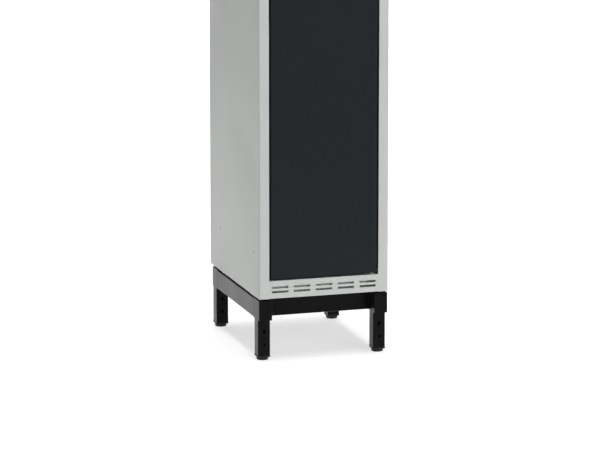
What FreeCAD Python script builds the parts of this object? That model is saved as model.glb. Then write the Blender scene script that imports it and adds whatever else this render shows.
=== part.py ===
import FreeCAD, Part
import math
import os

# A single-door steel clothes locker on an adjustable stand. Millimetres, +Z up, +X to the right
# of a person who faces the door, +Y into the cabinet. The origin is on the floor, under the
# middle of the box that the locker with its latch knob fills.

os.makedirs("parts", exist_ok=True)
V = FreeCAD.Vector
X_AXIS = V(1, 0, 0)
Y_AXIS = V(0, 1, 0)
Z_AXIS = V(0, 0, 1)
LEFT = -1
RIGHT = 1

# Cabinet body
cabinet_width = 300.0
cabinet_depth = 400.0
cabinet_height = 1740.0
underside_height = 143.0      # floor to the underside of the cabinet
sheet = 1.0
bend = 3.0                    # outer radius of a fold
seam = 0.2                    # play between sheets that lie side by side
knob_reach = 24.0             # how far the latch knob stands out of the door

half_width = cabinet_width / 2
front = (knob_reach - cabinet_depth) / 2
back = front + cabinet_depth
base = underside_height
top = base + cabinet_height

# Front frame
stile_width = 22.8
frame_rail_height = 40.0
hem_width = 8.0
hem_depth = 2.5
crisp = 0.3                   # radius of a pressed, nearly sharp fold
opening_half = half_width - stile_width
underside_flange = 95.0
rear_flange = 15.0
base_angle_height = 15.0

# Ventilation slots, in both frame rails
slot_pitch = 51.0
slot_length = 38.2
slot_end_margin = 5.0         # least distance from a slot to the end of its frame rail
slot_height = 4.8
slot_corner = 1.2
slot_rows = (15.0, 25.0)      # from the frame rail's outer edge
slot_columns = int((2 * (opening_half - slot_end_margin) - slot_length) / slot_pitch) + 1

# Inside panels
floor_rise = 39.5             # underside of the cabinet to the floor's upper face
floor_setback = 9.0           # face of the front frame to the floor's front lip
floor_lip = 20.0
tray_flange = 14.0
top_flange = 18.0
shelf_drop = 300.0            # top of the cabinet to the hat shelf
shelf_setback = 40.0
shelf_lip = 20.0

# Holes for joining lockers side by side and for fixing one to a wall
join_radius = 3.0
join_from_end = 100.0
join_front = 44.0
join_rear = 88.0
join_spacing = cabinet_depth - join_front - join_rear
wall_hole_radius = 3.5
wall_hole_spacing = 160.0
wall_hole_drop = 60.0

# Back panel rivets
rivet_radius = 1.6
rivet_head_radius = 3.0
rivet_head = 1.0
rivet_play = 0.05
rivets_per_side = 7
rivet_end_distance = 60.0

# Door
door_thickness = 18.0
side_gap = 3.6
end_gap = 4.0
door_edge_radius = 1.5
door_lip = 12.0
stiffener_width = 42.0
stiffener_flange = 13.0
stiffener_end_gap = 6.0

door_half = opening_half - side_gap
door_bottom = base + frame_rail_height + end_gap
door_top = top - frame_rail_height - end_gap
door_back = front + door_thickness

# Pivots at the foot and the head of the door
pivot_inset = 9.4
pivot_depth = 8.0
pivot_radius = 2.5
pivot_play = 0.05
bush_wall = 0.85
collar_rim = 0.6
collar_play = 0.2
bracket_sheet = 2.0
bracket_drop = 3.0            # below the frame rail's inner edge
bracket_width = 22.0
bracket_depth = 24.0
bracket_lip = 6.0
notch_gap = 1.0               # between the bottom bracket and the floor panel
pivot_block_height = 25.0
pivot_block_width = 15.0

spigot_radius = pivot_radius + pivot_play + bush_wall
collar_radius = spigot_radius + collar_rim
pivot_x = door_half - pivot_inset
pivot_y = front + pivot_depth

# Turn latch for a padlock
latch_inset = 32.0
latch_height = 860.0          # above the underside of the cabinet
rose_radius = 23.0
rose_thickness = 3.0
barrel_radius = 9.0
barrel_length = 14.0
spindle_radius = 5.0
running_play = 0.05
knob_radius = 10.5
knob_disc = 5.7
disc_gap = 0.8                # between the disc under the grip and the lug
grip_width = 12.0
grip_end_wall = 3.0           # from the eye to the end of the grip
eye_radius = 4.0
eye_wall = 2.0                # from the eye to the top of the lug
eye_depth = 8.0               # front of the grip to the middle of the eye
lug_thickness = 4.0
lug_gap = 2.0
cam_length = 42.0
cam_width = 16.0
cam_sheet = 3.0
cam_gap = 0.5
keeper_sheet = 2.0
keeper_height = 60.0
keeper_depth = 30.0
keeper_gap = 0.8
latch_nut_width = 26.0
latch_nut_height = 5.0
cam_screw_radius = 6.0
cam_screw_head = 3.5
cam_screw_edge = 1.0

lug_offset = grip_width / 2 + lug_gap
lug_drop = max(lug_offset, math.sqrt(max((knob_radius + disc_gap) ** 2 - lug_offset ** 2, 0)))
eye_offset = lug_drop + eye_wall + eye_radius
grip_length = 2 * (eye_offset + eye_radius + grip_end_wall)
latch_x = -door_half + latch_inset
latch_z = base + latch_height
cam_front = door_back + 1.5

# Door stops with rubber buffers
stop_from_end = 120.0
stop_height = 40.0
stop_reach = 37.0
stop_depth = 25.0
buffer_radius = 4.5
buffer_height = 1.8
buffer_gap = 0.2

# Coat rail and hooks
coat_rail_radius = 9.5
coat_rail_wall = 1.2
coat_rail_drop = 60.0
cup_plate = 2.0
cup_ring = 1.0
cup_length = 8.0
cup_play = 0.1
cup_screw_radius = 1.8
cup_screw_head = 2.4
cup_screw_gap = 0.3
hook_sheet = 2.0
hook_width = 15.0
hook_reach = 30.0
hook_height = 42.0
hook_tip = 20.0
hook_bend = 8.0
hook_drop = 70.0
hook_spread = 60.0

cup_bore = coat_rail_radius + cup_play
cup_screw_spread = cup_bore + cup_ring + cup_screw_gap + cup_screw_head
cup_radius = cup_screw_spread + cup_screw_head + cup_screw_gap

# Label holder on the door
label_width = 70.0
label_height = 32.0
label_thickness = 2.0
label_border = 6.0
label_pocket = 0.8
card_play = 0.1
label_drop = 150.0

# Stand
stand_gap = 4.3               # stand to the underside of the cabinet
rail_height = 45.4
rail_sheet = 1.5
rail_flange = 30.0
cross_flange = 28.0
stand_setback = 3.0
stand_rear_gap = 18.0
sleeve_depth = 42.0
sleeve_wall = 0.9
leg_size = 28.2
leg_wall = 1.5
leg_corner = 1.5
leg_play = 0.2
leg_top_gap = 1.7
leg_hole_radius = 3.5
leg_hole_pitch = 30.0
leg_hole_first = 36.0
leg_holes = 4
lock_radius = 4.0
lock_play = 0.05
lock_head = 5.3
lock_nut = 6.5
hex_width = 13.0
mount_bolt_x = 12.0           # in from the side of the cabinet
mount_bolt_front = 80.0
mount_bolt_rear = 95.0
spacer_radius = 9.0
mount_hole_play = 0.4

stand_top = base - stand_gap
stand_bottom = stand_top - rail_height
stand_front = front + stand_setback
stand_back = back - stand_rear_gap
rail_front = stand_front + sleeve_depth
rail_back = stand_back - sleeve_depth
leg_x = half_width - sleeve_wall - leg_play - leg_size / 2
leg_rear = sleeve_wall + leg_play       # rear of a sleeve to the rear of its leg
sleeve_width = leg_size + 2 * (sleeve_wall + leg_play)
mount_hole_radius = lock_radius + mount_hole_play

# Levelling feet
foot_height = 7.0
foot_top_radius = 14.0
foot_bottom_radius = 12.8
foot_edge = 1.2
foot_gap = 0.2
stem_radius = 5.0
stem_length = 33.0
plug_flange = 3.0
plug_overhang = 0.6
plug_body = 16.0
plug_play = 0.1
plug_corner = 2.0


def block(x0, x1, y0, y1, z0, z1):
    return Part.makeBox(x1 - x0, y1 - y0, z1 - z0, V(x0, y0, z0))


def rod(start, axis, radius, length):
    return Part.makeCylinder(radius, length, start, axis)


def hexagon(start, axis, width, length):
    """A hexagon bar of the given width across flats."""
    corner = width / 2 / math.cos(math.pi / 6)
    circle = Part.makePolygon([V(corner * math.cos(a * math.pi / 3), corner * math.sin(a * math.pi / 3), 0)
                               for a in range(7)])
    bar = Part.Face(circle).extrude(Z_AXIS * length)
    bar.Placement = FreeCAD.Placement(start, FreeCAD.Rotation(Z_AXIS, axis))
    return bar


def rounded(shape, radius, direction, keep=lambda middle: True):
    """Fillet the straight edges that run along direction and that keep() picks by their middle."""
    edges = []
    for edge in shape.Edges:
        ends = edge.Vertexes
        if len(ends) == 2 and edge.Curve.TypeId == "Part::GeomLine":
            along = (ends[1].Point - ends[0].Point).normalize()
            if abs(along.dot(direction)) > 0.999 and keep(edge.CenterOfMass):
                edges.append(edge)
    return shape.makeFillet(radius, edges)


def mirrored(shape):
    """The same piece on the other side of the locker."""
    return shape.mirror(V(0, 0, 0), X_AXIS)


def group(shapes):
    return Part.makeCompound(shapes)


def plan(u, v):
    return V(u, v, 0)


def side_view(u, v):
    return V(0, u, v)


def front_view(u, v):
    return V(u, 0, v)


def turned_corner(before, corner, after, radius):
    """The two ends and the middle of the arc that rounds a corner of a path."""
    come = (corner - before).normalize()
    go = (after - corner).normalize()
    turn = come.getAngle(go)
    if radius <= 0:
        return corner, None, corner
    reach = radius * math.tan(turn / 2)
    inwards = (go - come).normalize()
    centre = corner + inwards * (radius / math.cos(turn / 2))
    return corner - come * reach, centre - inwards * radius, corner + go * reach


def path_edges(points, radii):
    """Edges of an open path with its corners rounded."""
    edges = []
    last = points[0]
    for i, radius in enumerate(radii, 1):
        start, middle, end = turned_corner(points[i - 1], points[i], points[i + 1], radius)
        edges.append(Part.makeLine(last, start))
        if middle is not None:
            edges.append(Part.Arc(start, middle, end).toShape())
        last = end
    edges.append(Part.makeLine(last, points[-1]))
    return edges


def folded(path, thickness, radii, view, start, run):
    """A folded sheet. path is its outer side, seen in view, with the sheet on its left; radii are
    the outer radii of its folds. It runs from start along run."""
    flat = [V(u, v, 0) for u, v in path]
    headings = [(b - a).normalize() for a, b in zip(flat, flat[1:])]
    lefts = [V(-h.y, h.x, 0) for h in headings]
    inner = [flat[0] + lefts[0] * thickness]
    near = []
    far = []
    for i, radius in enumerate(radii):
        inner.append(flat[i + 1] + (lefts[i] + lefts[i + 1]) * (thickness / (1 + lefts[i].dot(lefts[i + 1]))))
        towards_sheet = headings[i].cross(headings[i + 1]).z > 0
        tight = max(radius - thickness, 0)
        near.append(radius if towards_sheet else tight)
        far.append(tight if towards_sheet else radius)
    inner.append(flat[-1] + lefts[-1] * thickness)
    outer_points = [view(p.x, p.y) + start for p in flat]
    inner_points = [view(p.x, p.y) + start for p in inner]
    edges = path_edges(outer_points, near) + path_edges(inner_points, far)
    edges.append(Part.makeLine(outer_points[0], inner_points[0]))
    edges.append(Part.makeLine(outer_points[-1], inner_points[-1]))
    return Part.Face(Part.Wire(Part.__sortEdges__(edges))).extrude(run)


def tube(x0, x1, y0, y1, z0, z1, wall, corner):
    """An upright rectangular tube with rounded corners."""
    outside = block(x0, x1, y0, y1, z0, z1)
    inside = block(x0 + wall, x1 - wall, y0 + wall, y1 - wall, z0, z1)
    return rounded(outside, corner, Z_AXIS).cut(inside)


def rivet_heights():
    step = (cabinet_height - 2 * rivet_end_distance) / (rivets_per_side - 1)
    return [base + rivet_end_distance + i * step for i in range(rivets_per_side)]


def rivet_centre():
    """Distance of the back rivets from the middle of the cabinet."""
    return half_width - rear_flange / 2


def mount_bolt_places():
    x = half_width - mount_bolt_x
    return [(side * x, y) for side in (LEFT, RIGHT) for y in (front + mount_bolt_front, back - mount_bolt_rear)]


def side_panel():
    """Left side: front stile with its hem, side and rear flange in one folded sheet."""
    path = [(half_width - rear_flange, back), (half_width, back), (half_width, front),
            (opening_half, front), (opening_half, front + hem_depth), (opening_half + hem_width, front + hem_depth)]
    path = [(-x, y) for x, y in path]
    folds = [bend, bend, crisp, crisp]
    panel = folded(path, sheet, folds, plan, V(0, 0, base), Z_AXIS * cabinet_height)
    for z in (base + join_from_end, top - join_from_end):
        for y in (front + join_front, front + join_front + join_spacing):
            panel = panel.cut(rod(V(-half_width - sheet, y, z), X_AXIS, join_radius, 3 * sheet))
    for z in rivet_heights():
        panel = panel.cut(rod(V(-rivet_centre(), back - 2 * sheet, z), Y_AXIS, rivet_radius + rivet_play, 3 * sheet))
    for y, z in cup_screw_places():
        panel = panel.cut(rod(V(-half_width - sheet, y, z), X_AXIS, cup_screw_radius, 3 * sheet))
    return panel


def base_angle():
    """Angle welded along the foot of the left side, holed for the bolts from the stand."""
    wall = half_width - sheet
    path = [(-wall, base + base_angle_height), (-wall, base), (-opening_half - seam, base)]
    y0 = front + hem_depth + sheet
    angle = folded(path, sheet, [bend], front_view, V(0, y0, 0), Y_AXIS * (back - bend - y0))
    for x, y in mount_bolt_places():
        angle = angle.cut(rod(V(x, y, base - sheet), Z_AXIS, mount_hole_radius, 3 * sheet))
    return angle


def back_panel():
    half = half_width - bend - seam
    panel = block(-half, half, back - 2 * sheet, back - sheet, base + sheet + seam, top - seam)
    for z in rivet_heights():
        for side in (LEFT, RIGHT):
            hole = rod(V(side * rivet_centre(), back - 3 * sheet, z), Y_AXIS, rivet_radius + rivet_play, 3 * sheet)
            panel = panel.cut(hole)
    for side in (LEFT, RIGHT):
        place = V(side * wall_hole_spacing / 2, back - 3 * sheet, top - wall_hole_drop)
        panel = panel.cut(rod(place, Y_AXIS, wall_hole_radius, 3 * sheet))
    return panel


def back_rivets():
    """Blind rivets set from inside, flush with the rear flange."""
    rivets = []
    for z in rivet_heights():
        for side in (LEFT, RIGHT):
            x = side * rivet_centre()
            shank = rod(V(x, back - 2 * sheet, z), Y_AXIS, rivet_radius, 2 * sheet)
            head = rod(V(x, back - 2 * sheet - rivet_head, z), Y_AXIS, rivet_head_radius, rivet_head)
            rivets.append(shank.fuse(head).removeSplitter())
    return group(rivets)


def level_sheet(z_top, y0, flange):
    """A level sheet from y0 to the back panel, between the side panels, folded down at its sides."""
    half = half_width - sheet
    path = [(half, z_top - flange), (half, z_top), (-half, z_top), (-half, z_top - flange)]
    return folded(path, sheet, [bend, bend], front_view, V(0, y0, 0), Y_AXIS * (back - bend - seam - y0))


def rear_flange_of(z_top, flange):
    """The flange at the back of a level sheet, folded down against the back panel."""
    half = half_width - sheet - bend
    wall = back - 2 * sheet
    upright = block(-half, half, wall - sheet, wall, z_top - flange, z_top)
    return upright.fuse(block(-half, half, back - bend - seam - sheet, wall, z_top - sheet, z_top))


def front_lip(z_top, y0, height):
    """The lip at the front of a level sheet, folded down and then back."""
    half = half_width - sheet - bend
    path = [(y0 + hem_depth, z_top), (y0, z_top), (y0, z_top - height), (y0 + hem_width, z_top - height)]
    return folded(path, sheet, [crisp, crisp], side_view, V(-half, 0, 0), X_AXIS * 2 * half)


def top_panel():
    y0 = front + bend + seam
    nose_half = opening_half - seam
    nose = block(-nose_half, nose_half, front + sheet + seam, y0 + sheet, top - sheet, top)
    return level_sheet(top, y0, top_flange).fuse([rear_flange_of(top, top_flange), nose]).removeSplitter()


def floor_panel():
    """Floor of the locker, notched round the bottom pivot bracket."""
    z = base + floor_rise
    y0 = front + floor_setback
    panel = level_sheet(z, y0, tray_flange).fuse([rear_flange_of(z, tray_flange), front_lip(z, y0, floor_lip)])
    notch_half = bracket_width / 2 + notch_gap
    notch = block(pivot_x - notch_half, pivot_x + notch_half, front,
                  front + hem_depth + bracket_depth + notch_gap, base, z + sheet)
    return panel.removeSplitter().cut(notch)


def hat_shelf():
    z = top - shelf_drop
    y0 = front + shelf_setback
    return level_sheet(z, y0, tray_flange).fuse(front_lip(z, y0, shelf_lip)).removeSplitter()


def vent_slots(edge_z, inwards):
    """Cutters for the rows of slots in a frame rail. inwards is 1 above the edge and -1 below it."""
    cutters = []
    for row in slot_rows:
        z = edge_z + inwards * row
        for column in range(slot_columns):
            x = (column - (slot_columns - 1) / 2) * slot_pitch
            cutter = block(x - slot_length / 2, x + slot_length / 2, front - sheet, front + 2 * sheet,
                           z - slot_height / 2, z + slot_height / 2)
            cutters.append(rounded(cutter, slot_corner, Y_AXIS))
    return cutters


def bottom_frame_rail():
    inner = base + frame_rail_height
    path = [(front + hem_depth, inner - hem_width), (front + hem_depth, inner), (front, inner),
            (front, base), (front + underside_flange, base)]
    start = V(-opening_half, 0, 0)
    rail = folded(path, sheet, [crisp, crisp, bend], side_view, start, X_AXIS * 2 * opening_half)
    return rail.cut(vent_slots(base, 1))


def top_frame_rail():
    inner = top - frame_rail_height
    path = [(front, top), (front, inner), (front + hem_depth, inner), (front + hem_depth, inner + hem_width)]
    start = V(-opening_half, 0, 0)
    rail = folded(path, sheet, [crisp, crisp], side_view, start, X_AXIS * 2 * opening_half)
    return rail.cut(vent_slots(top, -1))


def pivot_bracket_and_bush(edge_z, inwards):
    """Bracket behind a frame rail and its nylon bush. inwards is 1 at the foot of the door and -1
    at its head; the collar fills the gap between the bracket and the door."""
    def span(a, b):
        return min(edge_z + inwards * a, edge_z + inwards * b), max(edge_z + inwards * a, edge_z + inwards * b)
    y0 = front + hem_depth
    x0 = pivot_x - bracket_width / 2
    x1 = pivot_x + bracket_width / 2
    shelf_low, shelf_high = span(-bracket_drop - bracket_sheet, -bracket_drop)
    lip_low, lip_high = span(-bracket_drop - bracket_sheet - bracket_lip, -bracket_drop)
    bracket = block(x0, x1, y0, y0 + bracket_depth, shelf_low, shelf_high)
    bracket = bracket.fuse(block(x0, x1, y0, y0 + bracket_sheet, lip_low, lip_high)).removeSplitter()
    spigot_low, spigot_high = span(-bracket_drop - bracket_sheet - bracket_sheet, -bracket_drop)
    collar_low, collar_high = span(-bracket_drop, end_gap - collar_play)
    spigot = rod(V(pivot_x, pivot_y, spigot_low), Z_AXIS, spigot_radius, spigot_high - spigot_low)
    collar = rod(V(pivot_x, pivot_y, collar_low), Z_AXIS, collar_radius, collar_high - collar_low)
    low = min(spigot_low, collar_low)
    high = max(spigot_high, collar_high)
    bore = rod(V(pivot_x, pivot_y, low), Z_AXIS, pivot_radius + pivot_play, high - low)
    bush = spigot.fuse(collar).removeSplitter().cut(bore)
    return bracket.cut(spigot), bush


def pivot_pin(door_end, inwards):
    """Steel pin held in the door's pivot block, standing out through the gap into the bush."""
    outside = end_gap + bracket_drop + bracket_sheet + bracket_sheet / 2
    inside = sheet + pivot_block_height
    low = door_end - outside if inwards > 0 else door_end - inside
    return rod(V(pivot_x, pivot_y, low), Z_AXIS, pivot_radius, outside + inside)


def pivot_blocks():
    """Blocks in the hinge corners of the door that hold the pivot pins."""
    x1 = door_half - sheet
    blocks = []
    for low in (door_bottom + sheet, door_top - sheet - pivot_block_height):
        body = block(x1 - pivot_block_width, x1, front + sheet, door_back - sheet, low, low + pivot_block_height)
        blocks.append(body.cut(rod(V(pivot_x, pivot_y, low), Z_AXIS, pivot_radius, pivot_block_height)))
    return group(blocks)


def door_skin():
    """Door pan: front, four returns and the lips folded in behind them."""
    pan = block(-door_half, door_half, front, door_back, door_bottom, door_top)
    at_front = lambda middle: abs(middle.y - front) < 0.01
    pan = rounded(pan, door_edge_radius, Z_AXIS, at_front)
    pan = rounded(pan, door_edge_radius, X_AXIS, at_front)
    pan = pan.cut(block(-door_half + sheet, door_half - sheet, front + sheet, door_back - sheet,
                        door_bottom + sheet, door_top - sheet))
    pan = pan.cut(block(-door_half + door_lip, door_half - door_lip, door_back - 2 * sheet, door_back + sheet,
                        door_bottom + door_lip, door_top - door_lip))
    pan = pan.cut(rod(V(pivot_x, pivot_y, door_bottom - sheet), Z_AXIS, pivot_radius, cabinet_height))
    return pan.cut(rod(V(latch_x, front - sheet, latch_z), Y_AXIS, barrel_radius, 3 * sheet))


def door_stiffener():
    crown = stiffener_width / 2
    edge = crown + stiffener_flange
    path = [(edge, front + 2 * sheet), (crown, front + 2 * sheet), (crown, door_back - sheet),
            (-crown, door_back - sheet), (-crown, front + 2 * sheet), (-edge, front + 2 * sheet)]
    low = door_bottom + sheet + stiffener_end_gap
    high = door_top - sheet - stiffener_end_gap
    return folded(path, sheet, [bend] * 4, plan, V(0, 0, low), Z_AXIS * (high - low))


def latch_rose():
    """Round plate, threaded barrel and the fixed lug that a padlock goes through."""
    centre = V(latch_x, front, latch_z)
    rose = rod(centre - Y_AXIS * rose_thickness, Y_AXIS, rose_radius, rose_thickness)
    rim = [e for e in rose.Edges if e.Curve.TypeId == "Part::GeomCircle" and e.Curve.Center.y < front - sheet]
    rose = rose.makeFillet(rose_thickness / 2, rim)
    barrel = rod(centre - Y_AXIS, Y_AXIS, barrel_radius, barrel_length + 1)
    lug_x = latch_x + lug_offset
    low = latch_z - eye_offset - 2 * eye_radius
    lug = block(lug_x, lug_x + lug_thickness, front - knob_reach + eye_radius / 2, front - rose_thickness / 2,
                low, latch_z - lug_drop)
    lug = rounded(lug, eye_radius / 2, X_AXIS, lambda middle: middle.y < front - rose_thickness)
    eye = rod(eye_centre() - X_AXIS * grip_length, X_AXIS, eye_radius, 2 * grip_length)
    spindle_bore = rod(centre - Y_AXIS * knob_reach, Y_AXIS, spindle_radius + running_play, 2 * knob_reach)
    lug = lug.cut(eye)
    return rose.fuse([barrel, lug]).removeSplitter().cut(spindle_bore)


def eye_centre():
    """Middle of the padlock eye in the fixed lug."""
    return V(latch_x, front - knob_reach + eye_depth, latch_z - eye_offset)


def latch_nut():
    nut = hexagon(V(latch_x, front + sheet, latch_z), Y_AXIS, latch_nut_width, latch_nut_height)
    return nut.cut(rod(V(latch_x, front, latch_z), Y_AXIS, barrel_radius, barrel_length))


def latch_knob():
    """Turning grip and spindle, drawn unlocked with the grip level. Its eye meets the lug's when
    the grip stands upright."""
    centre = V(latch_x, front - knob_reach, latch_z)
    disc_front = front - rose_thickness - running_play * 4 - knob_disc
    disc = rod(V(latch_x, disc_front, latch_z), Y_AXIS, knob_radius, knob_disc)
    grip = block(latch_x - grip_length / 2, latch_x + grip_length / 2, centre.y, disc_front + knob_disc / 2,
                 latch_z - grip_width / 2, latch_z + grip_width / 2)
    grip = rounded(grip, grip_width / 4, Y_AXIS)
    eye = rod(V(latch_x - eye_offset, centre.y + eye_depth, latch_z - grip_width), Z_AXIS, eye_radius, 2 * grip_width)
    spindle = rod(V(latch_x, disc_front + sheet, latch_z), Y_AXIS, spindle_radius,
                  cam_front + cam_sheet - disc_front - sheet)
    return disc.fuse([grip, spindle]).removeSplitter().cut(eye)


def latch_cam():
    """Flat bolt on the end of the spindle, drawn unlocked, pointing up."""
    low = latch_z - cam_width / 2
    cam = block(latch_x - cam_width / 2, latch_x + cam_width / 2, cam_front, cam_front + cam_sheet,
                low, latch_z + cam_length)
    cam = rounded(cam, cam_width / 3, Y_AXIS)
    return cam.cut(rod(V(latch_x, cam_front, latch_z), Y_AXIS, spindle_radius, cam_sheet))


def cam_screw():
    place = V(latch_x, cam_front + cam_sheet, latch_z)
    head = rod(place, Y_AXIS, cam_screw_radius, cam_screw_head)
    rim = [e for e in head.Edges
           if e.Curve.TypeId == "Part::GeomCircle" and e.Curve.Center.y > place.y + cam_screw_edge]
    return head.makeFillet(cam_screw_edge, rim)


def latch_keeper():
    """Angle on the left side panel that the cam turns behind."""
    wall = -half_width + sheet
    face_back = cam_front - cam_gap
    plate = block(wall, -opening_half - keeper_gap, face_back - keeper_sheet, face_back,
                  latch_z - keeper_height / 2, latch_z + keeper_height / 2)
    leg = block(wall, wall + keeper_sheet, face_back - keeper_sheet, face_back + keeper_depth,
                latch_z - keeper_height / 2, latch_z + keeper_height / 2)
    return plate.fuse(leg).removeSplitter()


def stop_heights():
    return (door_bottom + stop_from_end, door_top - stop_from_end)


def stop_face():
    return door_back + buffer_gap + buffer_height


def door_stops():
    wall = -half_width + sheet
    face = stop_face()
    stops = []
    for z in stop_heights():
        low = z - stop_height / 2
        high = z + stop_height / 2
        plate = block(wall, wall + stop_reach, face, face + keeper_sheet, low, high)
        leg = block(wall, wall + keeper_sheet, face, face + stop_depth, low, high)
        stops.append(plate.fuse(leg).removeSplitter())
    return group(stops)


def buffers():
    x = -door_half + door_lip / 2
    return group([rod(V(x, stop_face() - buffer_height, z), Y_AXIS, buffer_radius, buffer_height)
                  for z in stop_heights()])


def coat_rail_place():
    return (front + back) / 2, top - shelf_drop - coat_rail_drop


def cup_screw_places():
    y, z = coat_rail_place()
    return [(y - cup_screw_spread, z), (y + cup_screw_spread, z)]


def coat_rail():
    y, z = coat_rail_place()
    half = half_width - sheet - cup_plate
    rail = rod(V(-half, y, z), X_AXIS, coat_rail_radius, 2 * half)
    return rail.cut(rod(V(-half, y, z), X_AXIS, coat_rail_radius - coat_rail_wall, 2 * half))


def rail_cups():
    y, z = coat_rail_place()
    wall = -half_width + sheet
    plate = rod(V(wall, y, z), X_AXIS, cup_radius, cup_plate)
    ring = rod(V(wall + cup_plate, y, z), X_AXIS, cup_bore + cup_ring, cup_length)
    cup = plate.fuse(ring).cut(rod(V(wall + cup_plate, y, z), X_AXIS, cup_bore, cup_length))
    for screw_y, screw_z in cup_screw_places():
        cup = cup.cut(rod(V(wall, screw_y, screw_z), X_AXIS, cup_screw_radius, cup_plate))
    return group([cup, mirrored(cup)])


def cup_screws():
    screws = []
    for y, z in cup_screw_places():
        shank = rod(V(-half_width, y, z), X_AXIS, cup_screw_radius, sheet + cup_plate)
        head = rod(V(-half_width + sheet + cup_plate, y, z), X_AXIS, cup_screw_head, cup_screw_radius)
        screws.append(shank.fuse(head).removeSplitter())
    return group(screws + [mirrored(s) for s in screws])


def coat_hooks():
    """Strip hooks on the back panel, bent forwards and up."""
    wall = back - 2 * sheet
    z = top - shelf_drop - hook_drop
    path = [(wall - hook_sheet, z), (wall - hook_sheet, z - hook_height),
            (wall - hook_reach, z - hook_height), (wall - hook_reach, z - hook_height + hook_tip)]
    hooks = []
    for side in (LEFT, RIGHT):
        start = V(side * hook_spread - hook_width / 2, 0, 0)
        hook = folded(path, hook_sheet, [hook_bend] * 2, side_view, start, X_AXIS * hook_width)
        hooks.append(hook)
    return group(hooks)


def label_box(width, height, y0, y1):
    z = door_top - label_drop
    return block(-width / 2, width / 2, y0, y1, z - height / 2, z + height / 2)


def label_holder():
    plate = rounded(label_box(label_width, label_height, front - label_thickness, front), 2 * sheet, Y_AXIS)
    pocket = label_box(label_width - label_border, label_height - label_border, front - label_pocket, front)
    window = label_box(label_width - 2 * label_border, label_height - 2 * label_border,
                       front - label_thickness, front)
    return plate.cut(pocket).cut(window)


def label_card():
    shrink = label_border + 2 * card_play
    return label_box(label_width - shrink, label_height - shrink, front - label_pocket + card_play, front)


def side_rail():
    """Left rail of the stand, a channel open towards the middle."""
    inner = -half_width + rail_flange
    path = [(inner, stand_top), (-half_width, stand_top), (-half_width, stand_bottom), (inner, stand_bottom)]
    run = Y_AXIS * (rail_back - rail_front)
    rail = folded(path, rail_sheet, [bend, bend], front_view, V(0, rail_front, 0), run)
    for x, y in mount_bolt_places():
        rail = rail.cut(rod(V(x, y, stand_top - 2 * rail_sheet), Z_AXIS, lock_radius + lock_play, 3 * rail_sheet))
    return rail


def cross_rail(face_y, inwards):
    """Channel between the side rails. Its web ends in tabs that lie on the sleeves inside the side
    rails. inwards is 1 for the front rail, whose flanges point back, and -1 for the rear one."""
    half = half_width - rail_flange - leg_play / 2
    flange_end = face_y + inwards * cross_flange
    path = [(flange_end, stand_top), (face_y, stand_top), (face_y, stand_bottom), (flange_end, stand_bottom)]
    if inwards < 0:
        path = path[::-1]
    rail = folded(path, rail_sheet, [bend, bend], side_view, V(-half, 0, 0), X_AXIS * 2 * half)
    tab_half = half_width - rail_sheet - leg_play
    margin = rail_sheet + bend - leg_play
    web = sorted((face_y, face_y + inwards * rail_sheet))
    tabs = block(-tab_half, tab_half, web[0], web[1], stand_bottom + margin, stand_top - margin)
    rail = rail.fuse(tabs).removeSplitter()
    if inwards > 0:
        for side in (LEFT, RIGHT):
            place = V(side * leg_x, face_y - rail_sheet, lock_height())
            rail = rail.cut(rod(place, Y_AXIS, lock_radius + lock_play, 3 * rail_sheet))
    return rail


def lock_height():
    return stand_bottom + rail_height / 2


def sleeve_backs():
    """Rear faces of the front and rear sleeves."""
    return {"front": rail_front, "rear": stand_back}


def corner_sleeve(rear_y):
    """Left corner sleeve whose rear face is at rear_y."""
    sleeve = tube(-half_width, -half_width + sleeve_width, rear_y - sleeve_depth, rear_y,
                  stand_bottom, stand_top, sleeve_wall, leg_corner)
    place = V(-leg_x, rear_y - 2 * sleeve_wall, lock_height())
    return sleeve.cut(rod(place, Y_AXIS, lock_radius + lock_play, 3 * sleeve_wall))


def leg_middle(rear_y):
    return rear_y - leg_rear - leg_size / 2


def leg_bottom():
    return foot_height + foot_gap + plug_flange


def leg(rear_y):
    """Left leg that slides in the sleeve."""
    y = leg_middle(rear_y)
    half = leg_size / 2
    post = tube(-leg_x - half, -leg_x + half, y - half, y + half, leg_bottom(), stand_top - leg_top_gap,
                leg_wall, leg_corner)
    for i in range(leg_holes):
        place = V(-leg_x, y - leg_size, leg_hole_first + i * leg_hole_pitch)
        post = post.cut(rod(place, Y_AXIS, leg_hole_radius, 2 * leg_size))
    return post


def leg_plug(rear_y):
    """Plastic end plug with the threaded bore for the foot."""
    y = leg_middle(rear_y)
    low = foot_height + foot_gap
    half = leg_size / 2 + plug_overhang
    flange = rounded(block(-leg_x - half, -leg_x + half, y - half, y + half, low, low + plug_flange),
                     plug_corner, Z_AXIS)
    inner = leg_size / 2 - leg_wall - plug_play
    body = block(-leg_x - inner, -leg_x + inner, y - inner, y + inner, low + plug_flange,
                 low + plug_flange + plug_body)
    bore = rod(V(-leg_x, y, low), Z_AXIS, stem_radius + running_play, plug_flange + plug_body)
    return flange.fuse(body).cut(bore)


def foot(rear_y):
    """Levelling foot, screwed right in."""
    y = leg_middle(rear_y)
    pad = Part.makeCone(foot_bottom_radius, foot_top_radius, foot_height, V(-leg_x, y, 0), Z_AXIS)
    rim = [e for e in pad.Edges if e.Curve.TypeId == "Part::GeomCircle" and e.Curve.Center.z < 1]
    pad = pad.makeFillet(foot_edge, rim)
    return pad.fuse(rod(V(-leg_x, y, foot_height - 1), Z_AXIS, stem_radius, stem_length + 1)).removeSplitter()


def lock_faces():
    """Where the leg lock nuts sit: on the front cross rail's tabs and on the rear sleeves."""
    return {"front": rail_front + rail_sheet, "rear": stand_back}


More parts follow.
